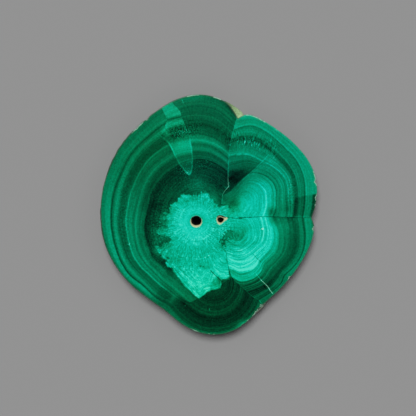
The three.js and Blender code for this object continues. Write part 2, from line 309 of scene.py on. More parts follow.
# Crust that fills two corners of the rind, as the line it ends on
CRUSTS = [
    {"from": (11.06, 29.86), "to": (4.86, 33.96), "pale": 1, "bulge": 0.5, "deepest": 9},
    {"from": (13.76, -30.64), "to": (18.56, -25.44), "pale": -0.6, "bulge": 1, "deepest": 3.9},
]

# Colours of the natural rind, of the crust and of the canals' lining darkening into painted shade, out of
# 255, by level
RIND_COLOURS = [
    (-0.3, (14, 34, 26)), (-0.08, (22, 62, 44)), (0.06, (30, 84, 62)), (0.2, (64, 104, 80)),
    (0.34, (112, 118, 100)), (0.5, (134, 130, 112)),
]
CRUST_COLOURS = [
    (-0.5, (166, 156, 142)), (-0.28, (128, 134, 118)), (-0.06, (84, 106, 84)), (0.14, (72, 110, 82)),
    (0.36, (112, 140, 98)), (0.56, (144, 174, 124)), (0.76, (176, 202, 158)),
]
LINING_AND_SHADE_COLOURS = [
    (-0.2, (120, 208, 176)), (0, (176, 212, 172)), (0.5, (206, 212, 168)), (1, (196, 196, 144)),
    (1.25, (60, 58, 36)), (1.5, (3, 3, 3)),
]
VEIN_COLOUR = (176, 204, 182)
# Pale stone of the chips, also used for the painted highlight along the rim
CHIP_AND_HIGHLIGHT_COLOUR = (152, 204, 178)
DUST_COLOUR = (104, 156, 132)
BLUER = (0.95, 0.97, 1.22, 1)
YELLOWER = (1.1, 1, 0.8, 1)
POLISH_ROUGHNESS = 0.14

# Noises: scale, or scale across, across and out from the heart of the growth, then detail and
# roughness. The feathers, streaks, rings and layers in the middle have a strength of their own.
FEATHERS = ((7.5, 7.5, 0.55), 4, 0.7)
STREAKS = ((26, 26, 0.8), 3, 0.6)
HEART_RINGS = ((0.6, 0.6, 2.2), 2)
LAYERS = (1, 3, 0.6)
FINE_RINGS = ((0.8, 0.8, 2.4), 3, 0.65)
FIBRES = ((70, 70, 1.1), 2)
MOTTLE = (2.6, 3, 0.65)
PATCHES = (1.5, 3, 0.65)
FEATHER_STRENGTH = 0.4
STREAK_STRENGTH = 0.62
HEART_RING_STRENGTH = 0.26
LAYER_STRENGTH = 0.8
GRAIN_STRENGTH = 0.32
# How much crisper the thin lines of a table of tones are drawn, and the lightest tone
SHARPNESS = 0.3
LIGHTEST = 0.9
# Strength of the fine rings, fibres and mottling all over
ALL_OVER = {"ringed": 0.32, "fibrous": 0.12, "mottled": 0.3}

# Soft round or oval spots: centre, half length and half width, turn in degrees, and strength
SPOTS = {
    # Lighter (above 0) or darker (below 0) than their band
    "lift": [
        (-2.4, 9.5, 3.2, 2.2, 0, 0.13), (-2.8, 3.2, 5.5, 1.8, 0, -0.08), (-1.8, -4.6, 4, 3, 0, 0.03),
        (-3.6, -19.5, 4.5, 3.4, -35, 0.06), (-0.8, -15.3, 3, 1, 0, -0.08),
        (19.1, 0.7, 1.4, 1.4, 0, -0.24), (8, 3, 1.2, 1.5, 0, -0.14), (1, -2, 1.7, 5, 0, -0.08),
        (-11, -1, 1.8, 5, 0, -0.06), (10.3, -32.6, 2.2, 0.8, 33, 0.25), (-5.3, 34.9, 5.5, 1, 6, 0.08),
        (7, 31.6, 3, 1, -55, -0.12), (23.8, -3.8, 4.5, 3, 0, 0.08), (23, -20, 2.4, 2.4, 0, -0.09),
        (24.6, 2.2, 1.6, 3.6, 0, -0.14), (7.2, 20, 1.6, 1.6, 0, -0.07), (19.2, 16.2, 3, 2, -50, 0.05),
        (8.1, 10.2, 2.2, 1.5, 0, -0.08), (-19.6, 3.2, 2, 3.6, 0, -0.05),
        (-23.4, 1.2, 1.6, 2.4, 0, -0.035), (-16.1, -2.3, 1.5, 1.8, 0, -0.06),
        (-8.9, 8.5, 1.8, 1.8, 0, -0.05), (-5.3, 4.9, 2, 1.2, 0, -0.05), (16.3, 12.1, 2, 1.5, 0, -0.03),
        (5.4, 7.2, 1.2, 1, 0, -0.06), (23.2, 1.2, 1.4, 1.4, 0, -0.06), (26.4, -1.8, 1.2, 1, 0, 0.06),
        (9.8, 28, 2.6, 1, -10, -0.05), (-6.6, -26.4, 1.4, 1, 0, -0.05), (20.6, -23.6, 1.6, 1, 45, 0.08),
        (11.8, 13.6, 1.4, 1, 20, 0.04), (-9.8, -20.2, 1.2, 1.2, 0, 0.05), (2.6, 4, 1, 1.2, 0, 0.05),
        (-15.6, -8.4, 1, 1.4, 0, 0.05), (-15.8, -23, 1.4, 1.2, 0, 0.04), (20.2, -20.2, 1.2, 1.2, 0, 0.05),
        (8.4, -5.2, 1.2, 0.8, 0, 0.05), (-7, 10.4, 1.4, 1, 0, -0.04), (-12.6, -1.8, 1.2, 1.2, 0, -0.05),
        (-0.8, 25, 3.4, 1, 0, 0.04), (10.6, -31.8, 2.4, 1, 30, -0.04), (-10, 21.6, 1, 1.2, 0, -0.04),
        (-6.8, -20.2, 1.4, 1.4, 0, -0.05), (14.2, -29.2, 1.4, 1, 0, -0.05), (5.6, 1, 1, 0.8, 0, 0.06),
        (-12.8, -16.2, 1.4, 1.8, 0, 0.05), (-18.8, -14, 1.4, 1.4, 0, 0.04), (0.7, 10.3, 3, 2, 0, -0.025),
        (13.2, 13.6, 2.2, 1.2, 40, 0.1), (8, 12.6, 2, 0.8, 0, -0.1), (5.8, 6.4, 1.6, 1.8, -40, 0.11),
        (5.8, 3, 0.8, 1, 0, -0.07), (5.3, -14.6, 1.4, 1, 0, -0.05), (4.6, -18.4, 1.8, 0.7, 0, 0.06),
        (13, -4, 1.4, 0.8, 0, -0.06), (14.6, -7.2, 1.2, 1.2, 0, 0.07), (19.9, -1.9, 1.5, 1.2, 0, -0.12),
        (6, 20, 1.6, 2, 0, -0.04), (-9.9, -14, 4.2, 3.4, 0, -0.08), (-14, -5.2, 3, 1.2, 0, 0.09),
        (1.7, 5.2, 1.3, 1.6, 0, 0.13), (5.4, 4.8, 2.4, 1.8, 0, -0.06), (3, 7.6, 1.6, 1.6, 0, -0.06),
        (-0.8, 9.4, 1.6, 1.4, 0, -0.05), (-14.9, 2.4, 2.2, 1.6, 0, -0.08),
        (-13.4, -1.2, 1.6, 0.9, 0, 0.1), (-16.2, -10.4, 1.8, 1.6, 0, 0.12),
        (-14.9, -13.2, 1.4, 1, 0, 0.1), (7, 10.9, 2.4, 1.7, 30, -0.06), (6.7, -8.9, 2, 2.4, 0, -0.09),
        (8.8, -5, 1.6, 1.1, 0, 0.09), (4.9, -5.3, 1.2, 1.2, 0, 0.09), (4.3, -8.3, 0.9, 1.3, 0, -0.09),
        (7.2, 2, 0.9, 1.4, 0, -0.15), (9.1, 0.7, 1.2, 1, 0, -0.09), (12.8, -14.4, 2.8, 2, 0, 0.07),
        (16.8, 1, 1.2, 2.4, 0, 0.07), (11.8, 18, 3, 0.6, -12, 0.06), (-13.6, -15.4, 2, 1.6, -45, 0.09),
        (-12.5, 24.6, 1, 2, 15, 0.22), (-7.6, -25.6, 1.8, 1, -30, -0.12),
        (-22.3, -12.2, 1.1, 2.8, 20, 0.05), (16.4, -18, 1.3, 1.3, 0, 0.1), (6.6, -6.2, 1.2, 1, 0, 0.09),
        (-10, 20, 0.9, 1.4, 20, -0.07), (-11.6, -14.6, 2.2, 1.1, -50, -0.14),
        (-15.2, -11.4, 1, 1, 0, 0.14), (16, 3, 1, 4, 0, -0.04), (-14.4, -7.5, 1.6, 1, 0, 0.08),
        (-11.9, -9.2, 1.4, 1.4, 0, -0.08), (-10.6, -25.4, 1.6, 0.8, 50, 0.12),
    ],
    # Bluer (above 0) or yellower (below 0) than the palette
    "cool": [
        (1, 12, 12, 6, 0, 0.8), (20, 14, 14, 12, 0, 0.35), (-16, 20, 14, 9, 45, -0.7),
        (1.9, -28, 14, 12, 0, -0.8), (7.8, 2.4, 2.6, 3, 0, -0.6),
    ],
    # With stronger rings
    "ringed": [
        (10.5, -11.5, 8, 7, 0, 0.62), (13, 3.5, 9, 8, 0, 0.04), (21, 13, 5, 8, 30, 0.34),
        (12, -20, 6, 4, -20, 0.5),
    ],
    # With fibres across the bands
    "fibrous": [
        (12, 22.2, 6.5, 2.2, -10, 1), (19, 19.5, 2, 2, 0, 0.7), (25.3, 7, 1.4, 6, 0, 0.5),
        (-14, -2, 4, 9, 0, 0.4),
    ],
    # With light grains
    "specked": [
        (11.8, 21.3, 4, 1.8, -8, 1.35), (15.4, 19.3, 2.6, 1.2, -30, 0.8), (6.6, 20.6, 0.7, 1, 0, 1.3),
        (19.9, 17, 1.3, 1.8, 40, 1.3), (24.9, 8.5, 0.9, 3, 0, 0.9), (25, -1.8, 1.5, 2.6, 0, 0.7),
        (6.3, 9.4, 0.6, 1.8, 0, 1.5), (5.4, 8, 1.2, 0.5, 0, 1.5), (16.4, -4.4, 0.5, 0.5, 0, 2.2),
        (21.3, -14.6, 0.9, 0.8, 0, 1), (-8, 24.4, 4, 1.4, 10, 1.5), (0, 23.5, 8, 3, 0, 0.5),
        (-7, 13, 3.5, 2.5, 0, 1.25), (-0.5, 15, 4.5, 2.2, 0, 1.15), (-24.9, 1.9, 1, 1.4, 0, 1),
        (-25.9, -4.8, 1.3, 1.4, 0, 1.1), (-23.6, -9, 0.8, 0.8, 0, 1.7), (-6.5, -27.2, 1.3, 1, -45, 1.3),
        (0.5, -28.6, 0.5, 0.5, 0, 1.8), (0.8, -31.4, 1.6, 0.6, 0, 1.1), (-2.3, -34, 0.5, 0.4, 0, 1.7),
        (16.5, -23, 3, 3, 0, 0.4),
    ],
    # Mottled
    "mottled": [
        (-3, -17.5, 5, 4.5, 0, 0.15), (-8, -15, 5, 3, -40, 0.25), (-8, 25, 4.5, 2.2, 10, 1.3),
        (5, -6, 4, 5, 0, 0.6), (-14, -6, 3.5, 8, 0, 0.5), (-3, 9, 8, 3, 0, 0.3),
        (-25.5, 0, 2.5, 14, 0, 0.25),
    ],
    # Patches of dark stone in the middle
    "dark": [
        (5.6, -6.6, 2, 3, -20, 0.72), (4.3, -8.8, 1.2, 1.4, 0, 0.5), (7.2, -5.5, 2.2, 1.1, 25, 0.7),
        (5.6, -11.2, 0.7, 3.5, 12, 0.4), (7.6, 1.4, 2.2, 1.6, 0, 0.4), (-1.4, -15.9, 3.2, 1, -8, 0.46),
        (-8.6, -13.6, 3, 0.9, -20, 0.4), (9.6, -1.4, 3.6, 0.5, 0, 0.5),
    ],
    # Where the feathery edge of the middle is wide
    "fringe": [
        (-13.5, -4, 4, 7.5, 0, 0.6), (-3.5, 6, 9, 3.5, 0, 0.22), (-12, -14.5, 2.4, 2.4, 0, 0.3),
    ],
    # How far the middle reaches out past its region, in millimetres
    "reach": [
        (-13, 0.5, 4, 4, 0, 1.2), (-14.5, -5.1, 3.4, 1.5, 0, 5), (-14.8, -10.2, 3.8, 1.5, 0, 3.4),
        (-15, 1.6, 3, 1.4, 0, -1.6), (-14.6, -7.6, 3.4, 0.9, 0, -2), (-2, 6.9, 2.2, 1.2, 0, -0.45),
        (-9.6, 4.2, 2.2, 1.3, 45, -0.6), (-6.9, -21.2, 2.4, 1.6, -40, 0.45),
    ],
    # Where the two lobes have a soft edge
    "soft": [(7.6, -2.4, 3.2, 5, 0, 1)],
    # Where the rim of the face gets a painted highlight
    "rim_highlight": [
        (-2, -35, 7, 3, 0, 0.46), (14.5, -30, 2.5, 2.5, 0, 0.9), (14.5, 28.3, 4, 2, -35, 0.9),
        (32, 10.5, 1.2, 2.6, 0, 1), (32.2, 4.5, 1, 1.4, 0, 0.8), (31.3, -4.6, 1, 1.6, 0, 0.8),
        (24.6, -19, 1.2, 1.2, 0, 0.7), (2.8, 34.6, 1.6, 1, -20, 0.9), (-5, 35.6, 2.4, 1, 0, 0.9),
        (-21.5, 26.5, 3.4, 1.6, 45, 0.8),
    ],
}
# Places with an edge of their own: outline, softness of the edge, and by how much they are lighter
EDGED_PLACES = [
    (
        [(1, -20.6), (1.9, -19.4), (2.8, -19), (4.4, -19.2), (4.3, -20.9), (4, -22.1), (2.2, -22.9),
         (0.7, -23.2)],
        0.3, -0.17,
    ),
    ([(26, 4.6), (28.6, 5.4), (33.1, 6.2), (33.7, -0.7), (25.4, -0.7)], 0.4, -0.12),
    ([(31.4, 5.9), (33.4, 6.1), (33.4, -1.1), (30.7, -1.1), (30.9, 0.6), (31.3, 2.6)], 0.25, -0.22),
    ([(31, -1.3), (32.8, -1.3), (32.8, -5.4), (31.6, -4.4)], 0.25, -0.1),
    (
        [(-14.3, -21.8), (-11.3, -22.7), (-9.5, -24.8), (-11, -26), (-13.1, -25.4), (-14.9, -23.6)],
        0.7, -0.03,
    ),
]
# How far the wall leans from the face to the back, and how far from the canals theirs counts
WALL_DRIFT = np.array([-0.36, 0.42])
CANAL_DRIFT_REACH = 15
# Middle of the saw blade's arcs, how close they are and how deep
SAW_AT = (210, -60)
SAW_TURN = 11
SAW_DEPTH = 0.012

# Where the surface lies on a square sheet of SHEET by SHEET, which a bake of the material can use, with
# each scale in parts of the sheet for a millimetre. The wall and the canals are unrolled into strips.
SHEET = 1024
FACE_SHEET = {"start": (402, 442), "scale": 12}
BACK_SHEET = {"start": (909, 122), "scale": 3.1}
WALL_SHEET = {"start": (812, 252), "scale": 9, "parts": 3, "apart": 69, "column": EDGE_STEP}
CANAL_SHEETS = [
    {"start": (left, 892), "scale": 10, "parts": 1, "apart": 0, "column": 0.16}
    for left in (16, 116)
]

# Camera straight above the slice, and the light of a soft studio from behind it
CAMERA_OVER = (0.056, 1.856)
CAMERA_HEIGHT = 352.7
CAMERA_LENS = 100
CAMERA_SENSOR = 36
FLOOR_SIDE = 3000
FLOOR_GREY = 146
SUN_STRENGTH = 2.68
SUN_WIDTH = 26
SUN_FROM = (-0.09, 0.34, 1)
# The sky by height: how light it is, in percent
SKY = [(-1, 20), (0, 20), (0.42, 20), (0.58, 34), (0.78, 34), (0.89, 1), (1, 0)]


def from_srgb(value):
    share = value / 255
    return share / 12.92 if share <= 0.04045 else ((share + 0.055) / 1.055) ** 2.4


def colour(red, green, blue):
    return (from_srgb(red), from_srgb(green), from_srgb(blue), 1.0)


def ease(low, high, value):
    way = np.clip((value - low) / (high - low), 0, 1)
    return way * way * (3 - 2 * way)


def blend(share, first, second):
    """The first where the share is 0, the second where it is 1."""
    return first * (1 - share) + second * share


def unit(rows):
    """Each row as a direction of length 1."""
    return rows / np.linalg.norm(rows, axis=1)[:, None]


# Shapes from lists of points

def resample(points, step, closed=True):
    """Evenly spaced points along a line."""
    points = np.asarray(points, float)
    if closed:
        points = np.vstack([points, points[:1]])
    lengths = np.hypot(*np.diff(points, axis=0).T)
    along = np.concatenate([[0], np.cumsum(lengths)])
    count = max(2, int(round(along[-1] / step)))
    at = np.linspace(0, along[-1], count + 1)
    if closed:
        at = at[:-1]
    return np.column_stack([np.interp(at, along, points[:, k]) for k in (0, 1)])


def around(values, reach):
    """The mean of each value of a ring and its neighbours on both sides."""
    total = sum(np.roll(values, shift, axis=0) for shift in range(-reach, reach + 1))
    return total / (2 * reach + 1)


def ring_normals(ring):
    """Directions out of a ring that runs anticlockwise, smoothed along it."""
    along = np.roll(ring, -1, axis=0) - np.roll(ring, 1, axis=0)
    return unit(around(unit(np.column_stack([along[:, 1], -along[:, 0]])), NORMALS_REACH))


def area_of(ring):
    return 0.5 * np.sum(ring[:, 0] * np.roll(ring[:, 1], -1) - np.roll(ring[:, 0], -1) * ring[:, 1])


def inside_ring(points, ring):
    """Whether each point is inside the ring."""
    inside = np.zeros(len(points), bool)
    x, y = points.T
    for (ax, ay), (bx, by) in zip(ring, np.roll(ring, -1, axis=0)):
        if ay != by:
            crosses = (ay > y) != (by > y)
            inside ^= crosses & (x < ax + (y - ay) * (bx - ax) / (by - ay))
    return inside


def line_distance(points, line, closed=False):
    """Distance of each point from a line."""
    line = np.asarray(line, float)
    if closed:
        line = np.vstack([line, line[:1]])
    nearest = np.full(len(points), np.inf)
    for start, end in zip(line, line[1:]):
        run = end - start
        way = np.clip((points - start) @ run / (run @ run), 0, 1)
        nearest = np.minimum(nearest, np.hypot(*(points - start - way[:, None] * run).T))
    return nearest


def region_distance(points, region):
    """Distance from the edge of a region, above 0 inside it and below 0 outside."""
    away = line_distance(points, region, closed=True)
    return np.where(inside_ring(points, np.asarray(region, float)), away, -away)


def is_clear(points, ring, holes, margin, every=1):
    """Whether each point is inside the ring and outside the holes, and further than the margin from
    them. Of the ring, every so many points are enough for the distance."""
    clear = inside_ring(points, ring) & (line_distance(points, ring[::every], closed=True) > margin)
    for hole in holes:
        clear &= ~inside_ring(points, hole) & (line_distance(points, hole, closed=True) > margin)
    return clear


# The solid from the frame

def read_solid():
    """The solid's corners in millimetres, each once, and its triangles."""
    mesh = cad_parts[NODE].data
    mesh.calc_loop_triangles()
    corners = np.array([vertex.co for vertex in mesh.vertices]) / MM
    triangles = np.array([triangle.vertices for triangle in mesh.loop_triangles])
    unique, index = np.unique(corners.round(4), axis=0, return_inverse=True)
    triangles = index.reshape(-1)[triangles]
    real = (triangles != np.roll(triangles, 1, axis=1)).all(axis=1)
    return unique, triangles[real]


def plane_rings(corners, triangles, height):
    """The rings that bound the flat part of the solid at a height, the longest first."""
    flat = (np.abs(corners[triangles][:, :, 2] - height) < 1e-3).all(axis=1)
    edges = {}
    for a, b, c in triangles[flat]:
        for pair in ((a, b), (b, c), (c, a)):
            edges[pair] = True
    following = {a: b for (a, b) in edges if (b, a) not in edges}
    rings = []
    while following:
        start = next(iter(following))
        ring = [start]
        step = following.pop(start)
        while step != start:
            ring.append(step)
            step = following.pop(step)
        rings.append(corners[ring][:, :2])
    rings.sort(key=len, reverse=True)
    return [ring if area_of(ring) > 0 else ring[::-1] for ring in rings]


def wall_distance(tree, origins, directions, heights):
    """How far the solid's wall is from the origins, at the given heights."""
    origins = np.broadcast_to(origins, directions.shape)
    heights = np.broadcast_to(heights, len(directions))
    found = np.zeros(len(directions))
    for index, (origin, direction, height) in enumerate(zip(origins, directions, heights)):
        hit = tree.ray_cast(Vector((*origin, height)), Vector((*direction, 0)))
        found[index] = hit[3] or 0
    return found


# Growth bands

def smooth_curve(knots, values, at):
    """A smooth curve through the values at the knots, level past its ends."""
    slopes = np.gradient(values, knots)
    at = np.clip(at, knots[0], knots[-1])
    piece = np.clip(np.searchsorted(knots, at, side="right") - 1, 0, len(knots) - 2)
    width = knots[piece + 1] - knots[piece]
    way = (at - knots[piece]) / width
    back = 1 - way
    start = values[piece] * (1 + 2 * way) * back ** 2 + slopes[piece] * width * way * back ** 2
    end = values[piece + 1] * (1 + 2 * back) * way ** 2 - slopes[piece + 1] * width * back * way ** 2
    return start + end


def polar(points, heart, first_angle):
    """Direction in degrees, from first_angle up, and distance of each point from a heart."""
    x, y = (points - heart).T
    return (np.degrees(np.arctan2(y, x)) - first_angle) % 360 + first_angle, np.hypot(x, y)


def band_coordinate(table, angle, radius):
    """-1 at the heart, 0 at the first band of the table, 1 at the second and so on."""
    knots = np.array(list(table), float)
    bands = np.array(list(table.values()), float)
    lines = [smooth_curve(knots, band, angle) for band in bands.T]
    level = radius / lines[0] - 1
    for index, (inner, outer) in enumerate(zip(lines, lines[1:])):
        level = np.where(radius > inner, index + (radius - inner) / (outer - inner), level)
    return level


def along_bands(level, table):
    """A band coordinate as a distance in millimetres, at the mean spacing of the bands."""
    bands = np.array(list(table.values())).mean(axis=0)
    beyond = np.maximum(level - len(bands) + 1, 0) * (bands[-1] - bands[-2])
    return np.interp(level, np.arange(-1, len(bands)), [0, *bands]) + beyond


def texture_vector(points, centre, distance, nearest):
    """Direction from a centre and a distance, for textures that follow them. The direction fades out
    nearer to the centre than nearest."""
    away = points - centre
    length = np.maximum(np.hypot(*away.T), nearest)
    return np.column_stack([away / length[:, None], distance])


def blobs(points, spots):
    """The sum of soft spots."""
    total = np.zeros(len(points))
    for x, y, long, short, turn, strength in spots:
        cos, sin = math.cos(math.radians(turn)), math.sin(math.radians(turn))
        along = ((points[:, 0] - x) * cos + (points[:, 1] - y) * sin) / long
        across = ((points[:, 1] - y) * cos - (points[:, 0] - x) * sin) / short
        total += strength * np.exp(-(along ** 2 + across ** 2))
    return total


def face_pattern(points):
    """Everything that the material needs to know about places in the polished face."""
    turns, radii, levels = {}, {}, {}
    for name, (heart, bands, first_angle) in GROWTHS.items():
        turns[name], radii[name] = polar(points, heart, first_angle)
        levels[name] = band_coordinate(bands, turns[name], radii[name])

    start, end = np.array(FOOT_LINE)
    run = end - start
    across = np.array([-run[1], run[0]]) / math.hypot(*run)
    past_line = (points - start) @ across
    outward = ease(0.6, 1.5, levels["body"])
    in_foot = ease(-1, 1, (past_line + 2.0 * outward) / (0.12 + 3.5 * outward))
    levels["body"] = blend(in_foot, levels["body"], levels.pop("foot"))

    values = {"foot": in_foot, "body_radius": radii["body"], "fan": np.hypot(*(points - FAN_AT).T)}
    for name, level in levels.items():
        heart, bands, _ = GROWTHS[name]
        values[name] = texture_vector(points, heart, along_bands(level, bands), 0.05)
        values[name + "_turn"] = turns[name]
        values[name + "_level"] = level
    for name, region in REGIONS.items():
        values[name] = region_distance(points, region)
    for name, spots in SPOTS.items():
        values[name] = ALL_OVER.get(name, 0) + blobs(points, spots)
    for region, soft, change in EDGED_PLACES:
        values["lift"] += change * ease(-soft, soft, region_distance(points, region))
    return values


# Mesh of the slice

class Builder:
    """Collects vertices, triangles, their places on the sheet, and what the material reads at vertices."""

    def __init__(self):
        self.count = 0
        self.places = []
        self.faces = []
        self.sheet = []
        self.zones = []

    def add(self, flat, height, **zones):
        """Adds vertices and returns their numbers. The height and each zone are one number for all of
        them or one for each."""
        first = self.count
        self.count += len(flat)
        self.places.append(np.column_stack([flat, np.broadcast_to(height, len(flat))]))
        for name, value in zones.items():
            self.zones.append((name, first, np.broadcast_to(value, len(flat))))
        return np.arange(first, self.count)

    def strip(self, last, flat, height, sheet, levels, inwards=False, **zones):
        """Adds a ring below the last one and the triangles between them, and returns its numbers. The
        levels are how far the two rings are from the start of the strip on the sheet."""
        upper, lower = last, self.add(flat, height, **zones)
        if inwards:
            upper, lower = lower, upper
            levels = levels[::-1]
        upper_next = np.roll(upper, -1)
        lower_next = np.roll(lower, -1)
        self.faces.append(np.column_stack([upper, lower, lower_next]))
        self.faces.append(np.column_stack([upper, lower_next, upper_next]))

        columns = np.arange(len(upper))
        in_part = math.ceil(len(upper) / sheet["parts"])
        left = sheet["start"][0] + columns // in_part * sheet["apart"]
        top, bottom = (left + level * sheet["scale"] for level in levels)
        width = sheet["column"] * sheet["scale"]
        start = sheet["start"][1] + columns % in_part * width
        end = start + width
        first = ((top, start), (bottom, start), (bottom, end))
        second = ((top, start), (bottom, end), (top, end))
        for corners in (first, second):
            self.sheet.append(np.stack([np.column_stack(corner) for corner in corners], axis=1))
        return upper if inwards else lower

    def cover(self, rings, numbers, loose, loose_numbers, height, facing, sheet):
        """Triangles over a flat region between rings, through loose points, facing up (1) or down (-1)."""
        known = np.concatenate([*numbers, loose_numbers])
        lines = []
        first = 0
        for ring in rings:
            count = len(ring)
            lines += [(first + k, first + (k + 1) % count) for k in range(count)]
            first += count
        flat = [Vector(place) for place in np.vstack([*rings, loose])]
        spots, _, triangles, origins = delaunay_2d_cdt(flat, lines, [], 0, 1e-5)[:4]
        spots = np.array([(spot.x, spot.y) for spot in spots])
        where = np.array([known[origin[0]] if origin else -1 for origin in origins])
        fresh = np.flatnonzero(where < 0)
        where[fresh] = self.add(spots[fresh], height)

        triangles = np.array(triangles)
        middles = spots[triangles].mean(axis=1)
        kept = inside_ring(middles, rings[0])
        for hole in rings[1:]:
            kept &= ~inside_ring(middles, hole)
        a, b, c = spots[triangles].transpose(1, 2, 0)
        turn = (b[0] - a[0]) * (c[1] - a[1]) - (b[1] - a[1]) * (c[0] - a[0])
        kept &= np.abs(turn) > 1e-9
        flipped = turn * facing < 0
        triangles[flipped] = triangles[flipped][:, ::-1]
        triangles = triangles[kept]
        self.faces.append(where[triangles])
        self.sheet.append(spots[triangles] * sheet["scale"] + sheet["start"])


def lattice(ring, holes, step, margin):
    """Points of a triangular lattice inside a ring, clear of its edge and of the holes."""
    low = ring.min(axis=0)
    high = ring.max(axis=0)
    rows = np.arange(low[1], high[1], step * math.sqrt(3) / 2)
    x, y = np.meshgrid(np.arange(low[0], high[0], step), rows)
    x = x + (np.arange(len(rows)) % 2)[:, None] * step / 2
    points = np.column_stack([x.ravel(), y.ravel()])
    return points[is_clear(points, ring, holes, margin, every=2)]


def vein_rows(line, half, ring, holes):
    """The middle line of a vein with a line on each side of it, and which of their places are inside
    the face."""
    middle = resample(line, EDGE_STEP, closed=False)
    for _ in range(3):
        middle[1:-1] = (middle[:-2] + 2 * middle[1:-1] + middle[2:]) / 4
    along = np.gradient(middle, axis=0)
    across = unit(np.column_stack([-along[:, 1], along[:, 0]]))
    rows = [middle + across * offset * half for offset in (-1, 0, 1)]
    return rows, np.all([is_clear(row, ring, holes, EDGE_MARGIN) for row in rows], axis=0)


def chip_share(points):
    """How strongly each place of the rim is chipped, 0 to 1, and how deep."""
    share = np.zeros(len(points))
    depth = np.zeros(len(points))
    for centre, width, deep in CHIPS:
        near = np.clip(1 - np.hypot(*(points - centre).T) / width, 0, 1)
        share = np.maximum(share, near)
        depth = np.maximum(depth, near * deep)
    return share, depth


def lumplet_height(along, heights, length):
    """Height of the small lumps at places of the wall, given along the rim and up."""
    random = np.random.default_rng(SEED)
    places = random.uniform(0, length, LUMPLETS)
    levels = random.uniform(-1, THICKNESS + 1, LUMPLETS)
    radii = random.uniform(*LUMPLET_RADIUS, LUMPLETS)
    highest = np.zeros(np.shape(along))
    for place, level, radius in zip(places, levels, radii):
        run = (along - place + length / 2) % length - length / 2
        share = 1 - (run ** 2 + (heights - level) ** 2) / radius ** 2
        highest = np.maximum(highest, np.sqrt(np.clip(share, 0, 1)) * radius / LUMPLET_RADIUS[1])
    return highest * LUMPLET_HEIGHT


def crust_frame(crust, points):
    """How far along the line of a crust each place is, 0 to 1, and how far out of it, with the way out
    and the length of the line."""
    start = np.array(crust["from"])
    run = np.array(crust["to"]) - start
    length = math.hypot(*run)
    outward = np.array([run[1], -run[0]]) / length
    return (points - start) @ run / length ** 2, (points - start) @ outward, outward, length


def crust_share(points, depth):
    """How much of each wall place is crust, near the line that a crust ends on and below the face, and
    how pale it is."""
    share = np.zeros(len(points))
    pale = np.zeros(len(points))
    for crust in CRUSTS:
        way, out, _, length = crust_frame(crust, points)
        # Its two ends and its lower edge waver
        shifted = way + 0.07 * np.sin(1.7 * depth) + 0.04 * np.sin(4.1 * depth + 1)
        lowest = crust["deepest"] + 0.9 * np.sin(7 * way) + 0.5 * np.sin(17 * way + 2)
        here = ease(-0.12, 0.2, shifted) * ease(1.12, 0.8, shifted)
        here = here * ease(-0.6 * length, -0.5 * length, out) * ease(0.3, 0.6, depth)
        here = here * ease(lowest + 0.9, lowest - 0.9, depth)
        share = np.maximum(share, here)
        pale += (here > 0) * crust["pale"] * (1 - 0.75 * np.clip(way, 0, 1) ** 1.5)
    return share, pale


def crust_lean(ring):
    """Where a crust fills a corner: the way out of it, how much a column of the wall follows it, and how
    far the crust reaches."""
    leans = np.zeros((len(ring), 2))
    weights = np.zeros(len(ring))
    reach = np.full(len(ring), np.inf)
    for crust in CRUSTS:
        way, out, outward, length = crust_frame(crust, ring)
        weight = ease(-0.1, 0.1, way) * ease(1.1, 0.9, way) * (np.abs(out) < length)
        bulge = crust["bulge"] * (0.3 + 2.8 * np.clip(way, 0, 1) * (1 - np.clip(way, 0, 1)))
        leans += weight[:, None] * outward
        weights = np.maximum(weights, weight)
        reach = np.where(weight > 0, bulge - out, reach)
    return leans, weights[:, None], reach


def add_wall(builder, tree, ring, last):
    """The rounded rim, the natural rind below it and the rim of the back. Returns the last ring."""
    normals = ring_normals(ring)
    leans, weights, crust_reach = crust_lean(ring)
    directions = unit(blend(weights, normals, leans))
    along = np.arange(len(ring)) * EDGE_STEP
    share, deep = chip_share(ring)

    level = 0.0
    for row in range(1, EDGE_ROWS + 1):
        way = row / EDGE_ROWS
        turn = math.pi / 2 * way
        edge_place = ring + normals * (EDGE_ROUND * (1 + deep) * math.sin(turn))[:, None]
        edge_height = THICKNESS - EDGE_ROUND * (1 + share) * (1 - math.cos(turn))
        before = level
        level += EDGE_ROUND * math.pi / 2 / EDGE_ROWS
        last = builder.strip(
            last, edge_place, edge_height, WALL_SHEET, (before, level), rim=way, chip=share, wall=way * 0.5,
        )

    rows = int(round((THICKNESS - EDGE_ROUND - BACK_ROUND) / WALL_STEP))
    for row in range(1, rows + 1):
        way = row / rows
        heights = blend(way, edge_height, BACK_ROUND)
        depth = THICKNESS - heights
        sight = np.maximum(heights, LOWEST_SIGHT)
        out = wall_distance(tree, ring - normals * LOOK_IN, normals, sight) - LOOK_IN
        out = out - (1 - WALL_EXCESS) * np.maximum(out - WALL_REACH, 0)
        pushed = wall_distance(tree, ring - directions * LOOK_IN, directions, sight) - LOOK_IN
        straight = ring + normals * out[:, None]
        leaned = ring + directions * np.minimum(pushed, crust_reach)[:, None]
        settled = ease(0, RIM_TO_WALL, depth - EDGE_ROUND)[:, None]
        place = blend(settled, edge_place, blend(weights, straight, leaned))
        crust, pale = crust_share(place, depth)
        grown = lumplet_height(along, heights, len(ring) * EDGE_STEP)
        grown = grown * ease(LUMPLET_START, LUMPLET_FULL, depth) * (1 - CRUST_EVENS * crust)
        place = around(place, 1) + normals * grown[:, None]
        before = level
        level += WALL_STEP
        last = builder.strip(
            last, place, heights, WALL_SHEET, (before, level),
            wall=0.5 + 0.5 * ease(0, 0.5, depth - EDGE_ROUND), chip=share * (1 - way) ** 3,
            crust=crust, pale=pale, lump=grown / LUMPLET_HEIGHT,
        )
    place = place - normals * BACK_ROUND
    levels = (level, level + 1.5 * BACK_ROUND)
    return place, builder.strip(last, place, 0.0, WALL_SHEET, levels, wall=1.0, back=0.5)


